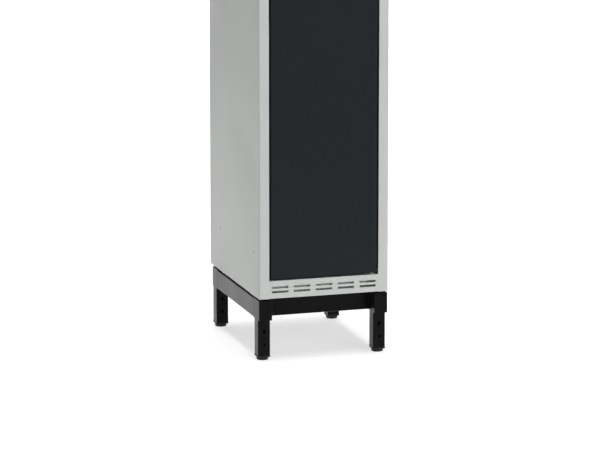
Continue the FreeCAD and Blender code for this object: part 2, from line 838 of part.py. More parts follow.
def leg_lock_nuts():
    nuts = []
    for face in lock_faces().values():
        nut = hexagon(V(-leg_x, face, lock_height()), Y_AXIS, hex_width, lock_nut)
        nuts.append(nut.cut(rod(V(-leg_x, face, lock_height()), Y_AXIS, lock_radius + lock_play, lock_nut)))
    return group(nuts + [mirrored(n) for n in nuts])


def leg_lock_screws():
    """Screws that press on the rear of the legs, drawn slack, just clear of them."""
    screws = []
    for name, face in lock_faces().items():
        tip = sleeve_backs()[name] - sleeve_wall + leg_play / 2
        head_start = face + lock_nut + leg_play
        shank = rod(V(-leg_x, tip, lock_height()), Y_AXIS, lock_radius, head_start - tip)
        head = hexagon(V(-leg_x, head_start, lock_height()), Y_AXIS, hex_width, lock_head)
        screws.append(shank.fuse(head).removeSplitter())
    return group(screws + [mirrored(s) for s in screws])


def stand_spacers():
    spacers = []
    for x, y in mount_bolt_places():
        ring = rod(V(x, y, stand_top), Z_AXIS, spacer_radius, stand_gap)
        spacers.append(ring.cut(rod(V(x, y, stand_top), Z_AXIS, mount_hole_radius, stand_gap)))
    return group(spacers)


def stand_bolts():
    """Bolts from below through the side rails and spacers into the cabinet's underside."""
    bolts = []
    for x, y in mount_bolt_places():
        under = stand_top - rail_sheet
        head = hexagon(V(x, y, under - lock_head), Z_AXIS, hex_width, lock_head)
        shank = rod(V(x, y, under), Z_AXIS, lock_radius, base + sheet + lock_nut + sheet - under)
        bolts.append(head.fuse(shank).removeSplitter())
    return group(bolts)


def stand_nuts():
    nuts = []
    for x, y in mount_bolt_places():
        nut = hexagon(V(x, y, base + sheet), Z_AXIS, hex_width, lock_nut)
        nuts.append(nut.cut(rod(V(x, y, base + sheet), Z_AXIS, lock_radius + lock_play, lock_nut)))
    return group(nuts)


def cabinet_pieces():
    left = side_panel()
    left_angle = base_angle()
    bottom_bracket, bottom_bush = pivot_bracket_and_bush(base + frame_rail_height, 1)
    top_bracket, top_bush = pivot_bracket_and_bush(top - frame_rail_height, -1)
    return {
        "left_side_panel": left,
        "right_side_panel": mirrored(left),
        "left_base_angle": left_angle,
        "right_base_angle": mirrored(left_angle),
        "back_panel": back_panel(),
        "back_rivets": back_rivets(),
        "floor_panel": floor_panel(),
        "top_panel": top_panel(),
        "hat_shelf": hat_shelf(),
        "bottom_frame_rail": bottom_frame_rail(),
        "top_frame_rail": top_frame_rail(),
        "bottom_pivot_bracket": bottom_bracket,
        "bottom_pivot_bush": bottom_bush,
        "top_pivot_bracket": top_bracket,
        "top_pivot_bush": top_bush,
        "latch_keeper": latch_keeper(),
        "door_stops": door_stops(),
        "door_buffers": buffers(),
        "coat_rail": coat_rail(),
        "coat_rail_cups": rail_cups(),
        "coat_rail_screws": cup_screws(),
        "coat_hooks": coat_hooks(),
    }


def door_pieces():
    return {
        "door_skin": door_skin(),
        "door_stiffener": door_stiffener(),
        "door_pivot_blocks": pivot_blocks(),
        "bottom_pivot_pin": pivot_pin(door_bottom, 1),
        "top_pivot_pin": pivot_pin(door_top, -1),
        "label_holder": label_holder(),
        "label_card": label_card(),
        "latch_rose": latch_rose(),
        "latch_nut": latch_nut(),
        "latch_knob": latch_knob(),
        "latch_cam": latch_cam(),
        "latch_cam_screw": cam_screw(),
    }


def stand_pieces():
    rail = side_rail()
    pieces = {
        "stand_left_rail": rail,
        "stand_right_rail": mirrored(rail),
        "stand_front_rail": cross_rail(rail_front, 1),
        "stand_rear_rail": cross_rail(rail_back, -1),
        "leg_lock_nuts": leg_lock_nuts(),
        "leg_lock_screws": leg_lock_screws(),
        "stand_spacers": stand_spacers(),
        "stand_bolts": stand_bolts(),
        "stand_nuts": stand_nuts(),
    }
    corner_parts = {"sleeve": corner_sleeve, "leg": leg, "leg_plug": leg_plug, "foot": foot}
    for end, rear_y in sleeve_backs().items():
        for name, make in corner_parts.items():
            piece = make(rear_y)
            pieces[end + "_left_" + name] = piece
            pieces[end + "_right_" + name] = mirrored(piece)
    return pieces


for pieces in (cabinet_pieces(), door_pieces(), stand_pieces()):
    for name, shape in pieces.items():
        shape.exportStep("parts/" + name + ".step")
        print(name, len(shape.Solids), "solids", shape.isValid())
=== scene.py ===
import math

import bmesh
import bpy
from mathutils import Matrix, Vector


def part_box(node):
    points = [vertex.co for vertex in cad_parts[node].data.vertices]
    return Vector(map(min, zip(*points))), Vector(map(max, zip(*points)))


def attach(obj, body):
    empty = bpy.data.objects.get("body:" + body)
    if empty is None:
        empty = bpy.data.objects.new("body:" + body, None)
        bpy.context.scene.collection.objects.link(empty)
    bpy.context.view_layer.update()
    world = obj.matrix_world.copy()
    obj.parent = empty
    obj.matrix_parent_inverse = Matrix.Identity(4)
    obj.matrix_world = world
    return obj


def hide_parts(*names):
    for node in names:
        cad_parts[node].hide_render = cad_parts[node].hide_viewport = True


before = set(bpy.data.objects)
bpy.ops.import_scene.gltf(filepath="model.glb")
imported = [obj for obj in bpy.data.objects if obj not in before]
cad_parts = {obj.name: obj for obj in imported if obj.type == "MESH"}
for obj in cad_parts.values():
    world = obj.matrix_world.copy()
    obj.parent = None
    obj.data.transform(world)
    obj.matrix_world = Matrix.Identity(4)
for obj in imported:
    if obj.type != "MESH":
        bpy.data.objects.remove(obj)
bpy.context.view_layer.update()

# The studio: a pale seamless floor with a painted glow, near the locker to wash out its shadow and far
# out, long panels overhead, a softbox in front and to the right, and a weak fill all round.
mm = 0.001
floor_reach = 60.0
shadow_fill_near = 0.66      # metres from the locker
shadow_fill_edge = 1.9
far_start = 3.0
far_full = 6.8
grid = bmesh.new()
bmesh.ops.create_grid(grid, x_segments=8, y_segments=8, size=floor_reach)
floor_mesh = bpy.data.meshes.new("studio_floor")
grid.to_mesh(floor_mesh)
grid.free()
studio_floor = bpy.data.objects.new("studio_floor", floor_mesh)
bpy.context.scene.collection.objects.link(studio_floor)

floor_colour_and_emission = bpy.data.materials.new("floor_colour_and_emission")
floor_colour_and_emission.use_nodes = True
floor_shader = floor_colour_and_emission.node_tree.nodes["Principled BSDF"]
floor_shader.inputs["Roughness"].default_value = 0.9
floor_shader.inputs["Specular IOR Level"].default_value = 0.1
floor_shader.inputs["Emission Color"].default_value = (1.0, 1.0, 1.0, 1)
floor_nodes = floor_colour_and_emission.node_tree.nodes
floor_links = floor_colour_and_emission.node_tree.links
floor_place = floor_nodes.new("ShaderNodeTexCoord")
distance = floor_nodes.new("ShaderNodeVectorMath")
distance.operation = "LENGTH"
floor_links.new(floor_place.outputs["Object"], distance.inputs[0])


def by_distance(start, end, near, far):
    """A number that goes smoothly from near to far between two distances from the locker."""
    blend = floor_nodes.new("ShaderNodeMapRange")
    blend.interpolation_type = "SMOOTHSTEP"
    blend.inputs["From Min"].default_value = start
    blend.inputs["From Max"].default_value = end
    blend.inputs["To Min"].default_value = near
    blend.inputs["To Max"].default_value = far
    floor_links.new(distance.outputs["Value"], blend.inputs["Value"])
    return blend.outputs["Result"]


# Painted light: the floor emits light within about 0.66 m of the locker, fading out by 1.9 m, so the shadow
# the locker casts is washed out; it emits again from 3 m, full by 6.8 m, so the far floor stays evenly white.
painted_emission = floor_nodes.new("ShaderNodeMath")
painted_emission.operation = "ADD"
floor_links.new(by_distance(shadow_fill_near, shadow_fill_edge, 0.66, 0.0), painted_emission.inputs[0])
floor_links.new(by_distance(far_start, far_full, 0.0, 0.76), painted_emission.inputs[1])
floor_links.new(painted_emission.outputs["Value"], floor_shader.inputs["Emission Strength"])
# The floor's own colour is darker near the locker, where the painted glow makes up its brightness.
floor_links.new(by_distance(shadow_fill_near, shadow_fill_edge, 0.38, 0.93), floor_shader.inputs["Base Color"])
floor_mesh.materials.append(floor_colour_and_emission)


def softbox(name, place, target, width, height, watts, spread=180):
    """A rectangular area light at a place, facing a target, its beam spread in degrees."""
    lamp = bpy.data.lights.new(name, "AREA")
    lamp.shape = "RECTANGLE"
    lamp.size = width
    lamp.size_y = height
    lamp.energy = watts
    lamp.spread = math.radians(spread)
    light = bpy.data.objects.new(name, lamp)
    light.location = place
    light.rotation_euler = (Vector(target) - Vector(place)).to_track_quat("-Z", "Y").to_euler()
    bpy.context.scene.collection.objects.link(light)


softbox("overhead_panel", place=(0.1, 1.4, 4.4), target=(0.1, 1.4, 0.0), width=2.3, height=7.4, watts=143,
        spread=80)
softbox("rear_panel", place=(1.9, 5.6, 4.4), target=(1.9, 5.6, 0.0), width=3.0, height=3.0, watts=75,
        spread=80)
softbox("front_key", place=(2.2, -4.6, 2.2), target=(0.0, 0.0, 0.9), width=2.4, height=2.4, watts=68)

studio_world = bpy.data.worlds.new("studio_world")
studio_world.use_nodes = True
surround = studio_world.node_tree.nodes["Background"]
surround.inputs["Color"].default_value = (1.0, 1.0, 1.0, 1)
surround.inputs["Strength"].default_value = 0.02
bpy.context.scene.world = studio_world
bpy.context.scene.view_settings.view_transform = "Standard"

# The camera stands well back, to the left of the front, and looks slightly down with a long lens.
look_down = math.radians(11.85)
look_right = math.radians(17.16)
camera_data = bpy.data.cameras.new("camera")
camera_data.lens = 219.2
camera_data.sensor_width = 36.0
camera_data.clip_end = 200.0
camera = bpy.data.objects.new("camera", camera_data)
camera.location = (-2.392, -7.753, 1.968)
camera.rotation_euler = (math.pi / 2 - look_down, 0.0, -look_right)
bpy.context.scene.collection.objects.link(camera)
bpy.context.scene.camera = camera

# The cabinet shell: side panels with folded stiles, base angles, back, floor, top, shelf and rails,
# all bent up from 1 mm steel sheet and welded, then sprayed with light grey powder and baked.


def finish(name, roughness, metallic=0.0, ior=1.5):
    """A new material with its main shader, its gloss set on the shader itself."""
    material = bpy.data.materials.new(name)
    material.use_nodes = True
    shader = material.node_tree.nodes["Principled BSDF"]
    shader.inputs["Roughness"].default_value = roughness
    shader.inputs["Metallic"].default_value = metallic
    shader.inputs["IOR"].default_value = ior
    return material, shader


def cloud(material, scale, detail=3.0, stretch=(1, 1, 1)):
    """Noise on the object's own coordinates, scale cells to the metre, drawn out by stretch."""
    nodes = material.node_tree.nodes
    links = material.node_tree.links
    place = nodes.new("ShaderNodeTexCoord")
    turn = nodes.new("ShaderNodeMapping")
    turn.inputs["Scale"].default_value = stretch
    noise = nodes.new("ShaderNodeTexNoise")
    noise.inputs["Scale"].default_value = scale
    noise.inputs["Detail"].default_value = detail
    links.new(place.outputs["Object"], turn.inputs["Vector"])
    links.new(turn.outputs["Vector"], noise.inputs["Vector"])
    return noise.outputs["Fac"]


def ranged(material, value, low, high, start=0.3, end=0.7):
    """Turn a noise value between start and end into a number between low and high."""
    node = material.node_tree.nodes.new("ShaderNodeMapRange")
    node.inputs["From Min"].default_value = start
    node.inputs["From Max"].default_value = end
    node.inputs["To Min"].default_value = low
    node.inputs["To Max"].default_value = high
    material.node_tree.links.new(value, node.inputs["Value"])
    return node.outputs["Result"]


def toned(material, value, dark, light, start=0.3, end=0.7):
    """A colour between two tones, chosen by a noise value."""
    mix = material.node_tree.nodes.new("ShaderNodeMix")
    mix.data_type = "RGBA"
    for socket, colour in ((mix.inputs[6], dark), (mix.inputs[7], light)):
        if hasattr(colour, "is_linked"):
            material.node_tree.links.new(colour, socket)
        else:
            socket.default_value = (*colour, 1)
    material.node_tree.links.new(ranged(material, value, 0.0, 1.0, start, end), mix.inputs[0])
    return mix.outputs[2]


def relief(material, shader, *layers):
    """Raise the surface by one or more noise layers, each a value and its height in metres."""
    nodes = material.node_tree.nodes
    links = material.node_tree.links
    last = None
    for value, height in layers:
        bump = nodes.new("ShaderNodeBump")
        bump.inputs["Strength"].default_value = 1.0
        bump.inputs["Distance"].default_value = height
        links.new(value, bump.inputs["Height"])
        if last is not None:
            links.new(last, bump.inputs["Normal"])
        last = bump.outputs["Normal"]
    links.new(last, shader.inputs["Normal"])


def lighter(colour, share):
    """A colour with every channel scaled by a share, and none above 1."""
    return tuple(min(channel * share, 1.0) for channel in colour)


def powder_coat(name, colour, roughness, ior, peel=0.018 * mm):
    """Baked powder paint: orange peel, the faint waviness of thin sheet, and a trace of unevenness
    in tone and gloss."""
    waviness = 0.4 * mm
    gloss_drift = 0.05
    paint, shader = finish(name, roughness, ior=ior)
    links = paint.node_tree.links
    broad = cloud(paint, 2.6, 3.0)
    grain = cloud(paint, 1500.0, 2.0)
    tone = toned(paint, broad, lighter(colour, 0.965), lighter(colour, 1.02))
    links.new(toned(paint, grain, tone, lighter(colour, 1.05), 0.45, 0.85), shader.inputs["Base Color"])
    patches = cloud(paint, 9.0, 4.0)
    links.new(ranged(paint, patches, roughness - gloss_drift, roughness + gloss_drift),
              shader.inputs["Roughness"])
    relief(paint, shader, (cloud(paint, 3.2, 1.0), waviness), (cloud(paint, 620.0, 2.0), peel))
    return paint


def satin_edge(material, square_on, glancing):
    """Make a black paint duller square on and glossier at a glancing angle, as satin powder is."""
    view = material.node_tree.nodes.new("ShaderNodeLayerWeight")
    view.inputs["Blend"].default_value = 0.5
    level = ranged(material, view.outputs["Facing"], square_on, glancing, 0.1, 0.7)
    shader = material.node_tree.nodes["Principled BSDF"]
    material.node_tree.links.new(level, shader.inputs["Specular IOR Level"])


def coat(nodes, material):
    """Give CAD nodes one finish."""
    for node in nodes:
        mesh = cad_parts[node].data
        mesh.materials.clear()
        mesh.materials.append(material)


body_paint = powder_coat("body_paint", (0.585, 0.605, 0.585), 0.42, 1.42)
coat(["left_side_panel", "right_side_panel", "left_base_angle", "right_base_angle", "back_panel",
      "floor_panel", "top_panel", "hat_shelf", "bottom_frame_rail", "top_frame_rail",
      "bottom_pivot_bracket", "top_pivot_bracket", "door_stops"], body_paint)

# The back panel's blind rivets, aluminium with a steel mandrel. Their domed heads are inside the
# locker, and their set ends are flush with the rear flange, with the mandrel's hole in the middle.


def solids(node):
    """Lowest and highest corner of each separate solid in a CAD node, read from a merged copy."""
    copy = bmesh.new()
    copy.from_mesh(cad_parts[node].data)
    bmesh.ops.remove_doubles(copy, verts=copy.verts, dist=0.001 * mm)
    left = set(copy.verts)
    found = []
    while left:
        edge = [left.pop()]
        island = []
        while edge:
            vert = edge.pop()
            island.append(vert.co.copy())
            for link in vert.link_edges:
                other = link.other_vert(vert)
                if other in left:
                    left.remove(other)
                    edge.append(other)
        low = Vector([min(co[i] for co in island) for i in range(3)])
        high = Vector([max(co[i] for co in island) for i in range(3)])
        found.append((low, high))
    copy.free()
    return sorted(found, key=lambda corners: tuple(corners[0]))


def ring_stack(rings, segments=32):
    """A closed skin drawn up through rings about the Z axis, in millimetres. A ring is a radius and
    a height, and either may be a function of the angle. Rings that meet are merged."""
    shape = bmesh.new()
    bmesh.ops.create_circle(shape, segments=segments, radius=1.0)
    levels = [shape.verts[:]]
    edges = shape.edges[:]
    for _ in rings[1:]:
        grown = bmesh.ops.extrude_edge_only(shape, edges=edges)["geom"]
        fresh = {g for g in grown if isinstance(g, bmesh.types.BMVert)}
        edges = [g for g in grown if isinstance(g, bmesh.types.BMEdge) and set(g.verts) <= fresh]
        levels.append(fresh)
    for verts, (radius, height) in zip(levels, rings):
        for vert in verts:
            angle = math.atan2(vert.co.y, vert.co.x)
            reach = radius(angle) if callable(radius) else radius
            level = height(angle) if callable(height) else height
            vert.co = (reach * math.cos(angle), reach * math.sin(angle), level)
    bmesh.ops.remove_doubles(shape, verts=shape.verts, dist=0.0005)
    bmesh.ops.recalc_face_normals(shape, faces=shape.faces)
    return shape


def add_part(whole, part, point, axis=(0, 0, 1), across=None):
    """Bring a part made in millimetres to a point, with its Z axis along axis and, where it
    matters, its X axis along across, and add it to a piece."""
    axis = Vector(axis)
    if across is None:
        turn = Vector((0, 0, 1)).rotation_difference(axis).to_matrix()
    else:
        turn = Matrix((Vector(across), axis.cross(Vector(across)), axis)).transposed()
    bmesh.ops.transform(part, verts=part.verts,
                        matrix=Matrix.Translation(point) @ turn.to_4x4() @ Matrix.Scale(mm, 4))
    scrap = bpy.data.meshes.new("scrap")
    part.to_mesh(scrap)
    part.free()
    whole.from_mesh(scrap)
    bpy.data.meshes.remove(scrap)


def piece(name, whole, material, body, slot, *nodes):
    """Make a finished shape an object that rides on a body and stands for CAD nodes, smooth where it
    is round and crisp at its edges."""
    mesh = bpy.data.meshes.new(name)
    whole.to_mesh(mesh)
    whole.free()
    mesh.shade_smooth()
    mesh.set_sharp_from_angle(angle=math.radians(33))
    mesh.materials.append(material)
    made = bpy.data.objects.new(name, mesh)
    bpy.context.scene.collection.objects.link(made)
    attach(made, body)
    if nodes:
        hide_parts(*nodes)
    return made


def bare_metal(name, colour, roughness, spangle=180.0, brushed=(1, 1, 1)):
    """Plated or bare metal: mottled tone, uneven gloss and a very fine surface grain."""
    metal, shader = finish(name, roughness, metallic=1.0)
    links = metal.node_tree.links
    mottle = cloud(metal, spangle, 4.0)
    tone = toned(metal, mottle, lighter(colour, 0.86), lighter(colour, 1.06))
    links.new(tone, shader.inputs["Base Color"])
    links.new(ranged(metal, mottle, roughness - 0.07, roughness + 0.09), shader.inputs["Roughness"])
    relief(metal, shader, (cloud(metal, 900.0, 3.0, brushed), 0.008 * mm))
    return metal


zinc_plate = bare_metal("zinc_plate", (0.60, 0.61, 0.62), 0.34)
rivet_rings = [(0, 0.6), (0.9, 0.6), (0.9, 0), (1.6, 0), (1.6, 2.0), (2.9, 2.0), (3.0, 2.15), (2.75, 2.6),
               (2.0, 2.9), (1.0, 3.0), (0, 3.0)]
rivets = bmesh.new()
for low, high in solids("back_rivets"):
    middle = (low + high) / 2
    add_part(rivets, ring_stack(rivet_rings, 20), (middle.x, high.y, middle.z), (0, -1, 0))
piece("set_back_rivets", rivets, zinc_plate, "cabinet", "zinc", "back_rivets")

# The pivots: a flanged nylon bush pressed up through each bracket, its collar filling the gap to the
# door, and a steel pin with chamfered ends that stands in the door's pivot block.


def moulded(name, colour, roughness, grain, height, ior=1.46):
    """Moulded plastic or rubber: even colour with a trace of mottling and a fine texture."""
    plastic, shader = finish(name, roughness, ior=ior)
    links = plastic.node_tree.links
    mottle = cloud(plastic, 60.0, 3.0)
    tone = toned(plastic, mottle, lighter(colour, 0.88), lighter(colour, 1.1))
    links.new(tone, shader.inputs["Base Color"])
    links.new(ranged(plastic, mottle, roughness - 0.06, roughness + 0.06), shader.inputs["Roughness"])
    relief(plastic, shader, (cloud(plastic, grain, 2.0), height))
    return plastic


nylon = moulded("nylon", (0.62, 0.62, 0.60), 0.42, 1400.0, 0.01 * mm)
bush_rings = [(2.55, 0.3), (2.85, 0), (3.1, 0), (3.4, 0.3), (3.4, 4.0), (4.0, 4.0), (4.0, 10.4), (3.6, 10.8),
              (2.85, 10.8), (2.55, 10.5), (2.55, 0.3)]
pin_rings = [(0, 0), (2.0, 0), (2.5, 0.5), (2.5, 35.5), (2.0, 36.0), (0, 36.0)]
for end, way in (("bottom", 1), ("top", -1)):
    low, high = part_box(end + "_pivot_bush")
    middle = (low + high) / 2
    bush = bmesh.new()
    foot = low.z if way > 0 else high.z
    add_part(bush, ring_stack(bush_rings, 36), (middle.x, middle.y, foot), (0, 0, way))
    piece(end + "_flanged_bush", bush, nylon, "cabinet", "nylon", end + "_pivot_bush")
    low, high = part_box(end + "_pivot_pin")
    pin = bmesh.new()
    add_part(pin, ring_stack(pin_rings, 28), (middle.x, middle.y, low.z))
    piece(end + "_turned_pin", pin, zinc_plate, "door", "zinc", end + "_pivot_pin")
coat(["door_pivot_blocks"], zinc_plate)

# The door: a 1 mm steel pan with folded lips and a glued hat-section stiffener, in anthracite
# powder paint. Two moulded rubber buffers on the stops take its closing side.
door_sheet = 1.0 * mm
door_paint = powder_coat("door_paint", (0.0092, 0.0134, 0.0160), 0.38, 1.25)
coat(["door_skin", "door_stiffener"], door_paint)
rubber = moulded("rubber", (0.022, 0.022, 0.023), 0.72, 900.0, 0.03 * mm)
buffer_rings = [(0, 0), (4.5, 0), (4.5, 0.8), (4.2, 1.35), (3.4, 1.7), (2.2, 1.8), (0, 1.8)]
buffers = bmesh.new()
for low, high in solids("door_buffers"):
    middle = (low + high) / 2
    add_part(buffers, ring_stack(buffer_rings, 28), (middle.x, high.y, middle.z), (0, -1, 0))
piece("domed_buffers", buffers, rubber, "cabinet", "rubber", "door_buffers")

# The latch is zinc, die cast and satin chromed. The rose has a lug for a padlock and a threaded
# barrel held by a hexagon nut, and the grip turns a flat steel cam behind a keeper.


def box_outline(left, right, down, up):
    """Distance to the sides of a box from a point inside it, by angle."""
    def reach(angle):
        across, over = math.cos(angle), math.sin(angle)
        sideways = (right if across > 0 else left) / max(abs(across), 1e-6)
        upright = (up if over > 0 else down) / max(abs(over), 1e-6)
        return min(sideways, upright)
    return reach


def pierced_plate(outline, eye, thickness, edge, steps=4, segments=96):
    """A plate on z = 0 with a round eye in it and a rounded outer edge."""
    rim = []
    for i in range(steps + 1):
        turn = math.pi / 2 * i / steps
        shrink = edge * (1 - math.sin(turn))
        rim.append((lambda a, s=shrink: outline(a) - s, edge * (1 - math.cos(turn))))
    rings = rim + [(radius, thickness - height) for radius, height in reversed(rim)]
    ease = min(edge, 0.4)
    rings += [(eye + ease, thickness), (eye, thickness - ease), (eye, ease), (eye + ease, 0), rim[0]]
    return ring_stack(rings, segments)


def thread(radius, pitch, depth, low, high):
    """Rings of a screw thread from one height to another."""
    steps_per_turn = 6
    steps = max(round((high - low) / pitch * steps_per_turn), 1)

    def groove(level):
        return lambda angle: radius - depth * abs((level / pitch - angle / math.tau) % 1 * 2 - 1)
    levels = [low + (high - low) * i / steps for i in range(steps + 1)]
    return [(groove(level), level) for level in levels]


def hexagon(width):
    """Distance from the middle of a hexagon to its side, by angle."""
    return lambda angle: width / 2 / math.cos(angle % (math.pi / 3) - math.pi / 6)


def hexagon_sides(width, low, high):
    """Rings up the sides of a hexagon whose corners are turned off at both ends."""
    outline = hexagon(width)
    land = 0.475 * width
    slope = math.tan(math.radians(30))
    return [(land, low), (outline, lambda a: low + (outline(a) - land) * slope),
            (outline, lambda a: high - (outline(a) - land) * slope), (land, high)]


def hexagon_nut(width, height, bore):
    """A hexagon nut on z = 0, its bore eased at both ends."""
    ease = 0.5
    return ring_stack(hexagon_sides(width, 0, height) + [
        (bore + ease, height), (bore, height - ease), (bore, ease), (bore + ease, 0), (0.475 * width, 0)], 72)


satin_chrome = bare_metal("satin_chrome", (0.70, 0.71, 0.72), 0.24, 60.0)
knob_middle = sum(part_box("latch_knob"), Vector()) / 2
cam_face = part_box("latch_cam")[1].y
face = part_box("door_skin")[0].y
latch_middle = Vector((knob_middle.x, face, knob_middle.z))
spindle_radius = 5.0
eye_radius = 4.0
eye_reach = 16.0 * mm       # door's face to the padlock eye
eye_drop = 14.0 * mm
lug_side = 8.0 * mm
grip_side = 14.0 * mm
grip_drop = 6.0 * mm
rose_rings = [(5.05, -14.0), (8.5, -14.0), (9.0, -13.5)] + thread(9.0, 1.5, 0.5, -13.5, -1.5) + [
    (9.0, -1.0), (9.0, 0.0), (22.7, 0.0), (23.0, 0.3), (23.0, 1.5), (22.8, 2.2), (22.3, 2.7), (21.5, 3.0),
    (18.4, 3.0), (18.1, 2.7), (17.3, 2.7), (17.0, 3.0), (5.6, 3.0), (5.05, 2.5), (5.05, -14.0)]
rose = bmesh.new()
add_part(rose, ring_stack(rose_rings, 72), latch_middle, (0, -1, 0))
lug = pierced_plate(box_outline(6.0, 14.5, 8.0, 6.0), eye_radius, 4.0, 0.9)
lug_place = latch_middle + Vector((lug_side, -eye_reach, -eye_drop))
add_part(rose, lug, lug_place, (1, 0, 0), (0, 1, 0))
piece("cast_rose", rose, satin_chrome, "door", "bright_steel", "latch_rose")

knob = bmesh.new()
knob_rings = [(0, -22.5), (4.6, -22.5), (spindle_radius, -22.1), (spindle_radius, 3.2), (10.1, 3.2),
              (10.5, 3.6), (10.5, 8.0), (10.2, 8.6), (9.6, 8.9), (0, 8.9)]
add_part(knob, ring_stack(knob_rings, 56), latch_middle, (0, -1, 0))
grip = pierced_plate(box_outline(7.0, 35.0, 8.0, 9.95), eye_radius, 12.0, 2.6, 6, 144)
add_part(knob, grip, latch_middle - Vector((grip_side, eye_reach, grip_drop)))
piece("cast_knob", knob, satin_chrome, "latch", "bright_steel", "latch_knob")

nut = bmesh.new()
add_part(nut, hexagon_nut(26.0, 5.0, 9.0), latch_middle + Vector((0, door_sheet, 0)), (0, 1, 0))
piece("barrel_nut", nut, zinc_plate, "door", "zinc", "latch_nut")

cam = bmesh.new()
flat_cam = pierced_plate(box_outline(8.0, 8.0, 8.0, 42.0), spindle_radius, 3.0, 0.5, 3, 144)
cam_place = (latch_middle.x, cam_face, latch_middle.z)
add_part(cam, flat_cam, cam_place, (0, -1, 0), (1, 0, 0))
piece("pressed_cam", cam, zinc_plate, "latch", "zinc", "latch_cam")


def socket_head(radius, height, key, depth, low=0.0):
    """Rings over a button head and down into its hexagon socket."""
    return [(radius, low), (radius, low + 0.2 * height), (0.92 * radius, low + 0.6 * height),
            (0.75 * radius, low + 0.9 * height), (0.58 * radius, low + height),
            (hexagon(key), low + height), (hexagon(key), low + height - depth), (0, low + height - depth)]


screw = bmesh.new()
add_part(screw, ring_stack([(0, 0)] + socket_head(6.0, 3.5, 4.0, 2.0), 48), cam_place, (0, 1, 0))
piece("cam_button_screw", screw, zinc_plate, "latch", "zinc", "latch_cam_screw")
coat(["latch_keeper"], zinc_plate)

# The label holder: a slim anodised aluminium frame, its window open to a blank card, fixed by two
# small rivets, one in each end of the frame.


def facing(shape, way):
    """The face of a box that points a given way."""
    return max(shape.faces, key=lambda f: f.normal.dot(Vector(way)))


def plain_box(low, high):
    """A bmesh box between two corners."""
    shape = bmesh.new()
    bmesh.ops.create_cube(shape, size=1.0)
    size = high - low
    bmesh.ops.transform(shape, verts=shape.verts, matrix=Matrix.Translation((low + high) / 2)
                        @ Matrix.Diagonal((size.x, size.y, size.z, 1)))
    return shape


def ease_edges(shape, width, segments, sharp=math.radians(50)):
    """Round every sharp edge of a shape."""
    edges = [e for e in shape.edges if len(e.link_faces) == 2 and e.calc_face_angle() > sharp]
    bmesh.ops.bevel(shape, geom=edges, offset=width, offset_type="OFFSET", segments=segments, profile=0.5,
                    affect="EDGES", clamp_overlap=True, material=-1)


anodised = bare_metal("anodised_aluminium", (0.66, 0.67, 0.68), 0.38, 90.0, (0.04, 1, 1))
frame_border = 6.0 * mm
rivet_sink = 0.35 * mm
low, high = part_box("label_holder")
holder = plain_box(low, high)
windows = []
for way in (-1, 1):
    side = facing(holder, (0, way, 0))
    bmesh.ops.inset_individual(holder, faces=[side], thickness=frame_border)
    windows.append(side)
rims = [e for window in windows for e in window.edges]
bmesh.ops.delete(holder, geom=windows, context="FACES_ONLY")
bmesh.ops.bridge_loops(holder, edges=rims)
bmesh.ops.recalc_face_normals(holder, faces=holder.faces)
ease_edges(holder, 0.45 * mm, 3)
middle = (low + high) / 2
for side in (-1, 1):
    end = middle.x + side * ((high.x - low.x) / 2 - frame_border / 2)
    head = ring_stack([(0, 0), (1.7, 0), (1.7, 0.2), (1.4, 0.6), (0.8, 0.85), (0, 0.9)], 20)
    add_part(holder, head, (end, low.y + rivet_sink, middle.z), (0, -1, 0))
piece("label_frame", holder, anodised, "door", "label_frame", "label_holder")

card_paper, card_shader = finish("card_paper", 0.85, ior=1.4)
fibres = cloud(card_paper, 500.0, 4.0, (1, 1, 3))
card_paper.node_tree.links.new(toned(card_paper, fibres, (0.78, 0.77, 0.73), (0.84, 0.835, 0.80)),
                               card_shader.inputs["Base Color"])
relief(card_paper, card_shader, (fibres, 0.03 * mm))
card = plain_box(*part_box("label_card"))
ease_edges(card, 0.15 * mm, 2)
piece("blank_card", card, card_paper, "door", "card", "label_card")

# The coat rail: chromed steel tube held in two die-cast cups, each screwed to its side panel, with
# two bent strip hooks riveted to the back panel under the shelf.
coat(["coat_rail"], bare_metal("bright_chrome", (0.74, 0.75, 0.76), 0.16, 30.0, (0.02, 1, 1)))
cup_rings = [(0, 0), (15.6, 0), (16.0, 0.4), (16.0, 1.3), (15.7, 1.8), (15.1, 2.0), (11.2, 2.0), (10.6, 2.6),
             (10.6, 9.4), (10.1, 10.0), (9.9, 10.0), (9.6, 9.7), (9.6, 2.0), (0, 2.0)]
cups = bmesh.new()
for low, high in solids("coat_rail_cups"):
    inwards = 1 if high.x < 0 else -1
    wall = low.x if inwards > 0 else high.x
    middle = (low + high) / 2
    add_part(cups, ring_stack(cup_rings, 56), (wall, middle.y, middle.z), (inwards, 0, 0))
piece("cast_rail_cups", cups, zinc_plate, "cabinet", "zinc", "coat_rail_cups")

screws = bmesh.new()
for low, high in solids("coat_rail_screws"):
    inwards = 1 if high.x < 0 else -1
    wall = low.x if inwards > 0 else high.x
    middle = (low + high) / 2
    rings = [(0, 0), (1.5, 0), (1.8, 0.3), (1.8, 3.0)] + socket_head(2.4, 1.8, 1.6, 0.9, 3.0)
    add_part(screws, ring_stack(rings, 30), (wall, middle.y, middle.z), (inwards, 0, 0))
piece("rail_cup_screws", screws, zinc_plate, "cabinet", "zinc", "coat_rail_screws")

coat(["coat_hooks"], zinc_plate)
hook_sheet = 2.1 * mm
head_drops = (8.0 * mm, 20.0 * mm)
hook_rivets = bmesh.new()
for low, high in solids("coat_hooks"):
    for drop in head_drops:
        head = ring_stack([(0, 0), (3.0, 0), (2.9, 0.5), (2.2, 1.1), (1.1, 1.4), (0, 1.45)], 24)
        place = ((low.x + high.x) / 2, high.y - hook_sheet, high.z - drop)
        add_part(hook_rivets, head, place, (0, -1, 0))
piece("hook_rivets", hook_rivets, zinc_plate, "cabinet", "zinc")

